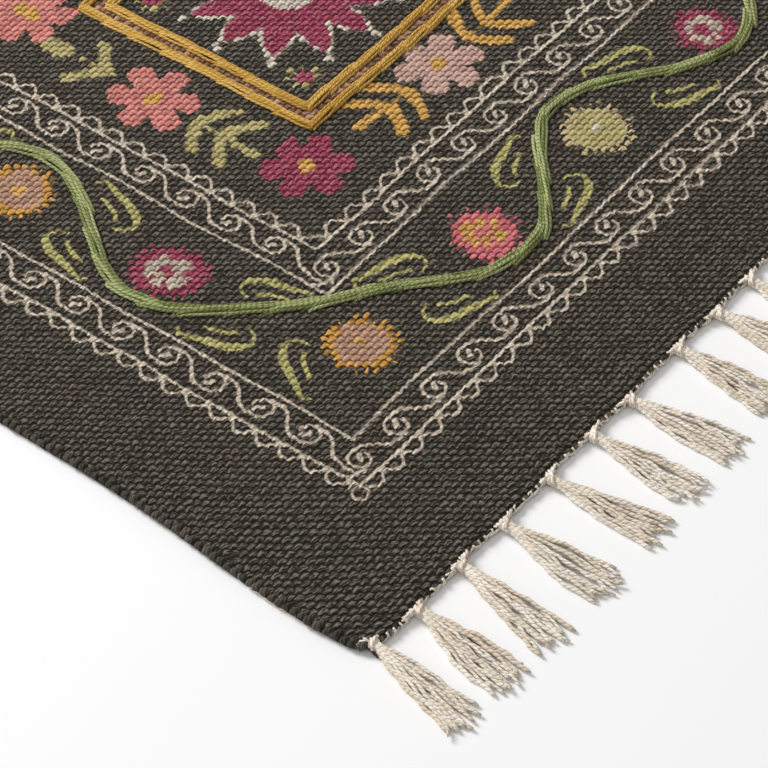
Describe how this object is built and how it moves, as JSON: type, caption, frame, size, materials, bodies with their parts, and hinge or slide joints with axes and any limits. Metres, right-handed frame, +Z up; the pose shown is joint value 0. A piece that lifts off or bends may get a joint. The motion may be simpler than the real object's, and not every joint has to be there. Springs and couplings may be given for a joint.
{
  "type": "embroidered rug",
  "caption": "Flat-woven cotton rug, printed and stitched, with a raised yarn vine, raised stitched squares and knotted tassels at both ends.",
  "frame": {"origin": "middle of the bounding box, on the surface that the rug lies on", "axes": "+Z up, out of the printed face; Y along the rug's length, from one row of tassels to the other"},
  "size_m": [0.6388, 1.0302, 0.0071],
  "materials": {
    "printed_cotton": "matt woven cotton with a printed pattern",
    "natural_cotton": "matt two-ply cotton yarn",
    "green_yarn": "matt stitched yarn",
    "mustard_yarn": "matt stitched yarn"
  },
  "bodies": {
    "root": {"rug_ground": "printed_cotton", "vine": "green_yarn", "frame_outer_1": "mustard_yarn", "frame_outer_2": "mustard_yarn", "frame_outer_3": "mustard_yarn", "frame_inner_1": "mustard_yarn", "frame_inner_2": "mustard_yarn", "frame_inner_3": "mustard_yarn", "tassel_near_01": "natural_cotton", "tassel_near_02": "natural_cotton", "tassel_near_03": "natural_cotton", "tassel_near_04": "natural_cotton", "tassel_near_05": "natural_cotton", "tassel_near_06": "natural_cotton", "tassel_near_07": "natural_cotton", "tassel_near_08": "natural_cotton", "tassel_near_09": "natural_cotton", "tassel_near_10": "natural_cotton", "tassel_near_11": "natural_cotton", "tassel_near_12": "natural_cotton", "tassel_near_13": "natural_cotton", "tassel_near_14": "natural_cotton", "tassel_near_15": "natural_cotton", "tassel_near_16": "natural_cotton", "tassel_near_17": "natural_cotton", "tassel_near_18": "natural_cotton", "tassel_near_19": "natural_cotton", "tassel_near_20": "natural_cotton", "tassel_near_21": "natural_cotton", "tassel_far_01": "natural_cotton", "tassel_far_02": "natural_cotton", "tassel_far_03": "natural_cotton", "tassel_far_04": "natural_cotton", "tassel_far_05": "natural_cotton", "tassel_far_06": "natural_cotton", "tassel_far_07": "natural_cotton", "tassel_far_08": "natural_cotton", "tassel_far_09": "natural_cotton", "tassel_far_10": "natural_cotton", "tassel_far_11": "natural_cotton", "tassel_far_12": "natural_cotton", "tassel_far_13": "natural_cotton", "tassel_far_14": "natural_cotton", "tassel_far_15": "natural_cotton", "tassel_far_16": "natural_cotton", "tassel_far_17": "natural_cotton", "tassel_far_18": "natural_cotton", "tassel_far_19": "natural_cotton", "tassel_far_20": "natural_cotton", "tassel_far_21": "natural_cotton"}
  },
  "joints": []
}
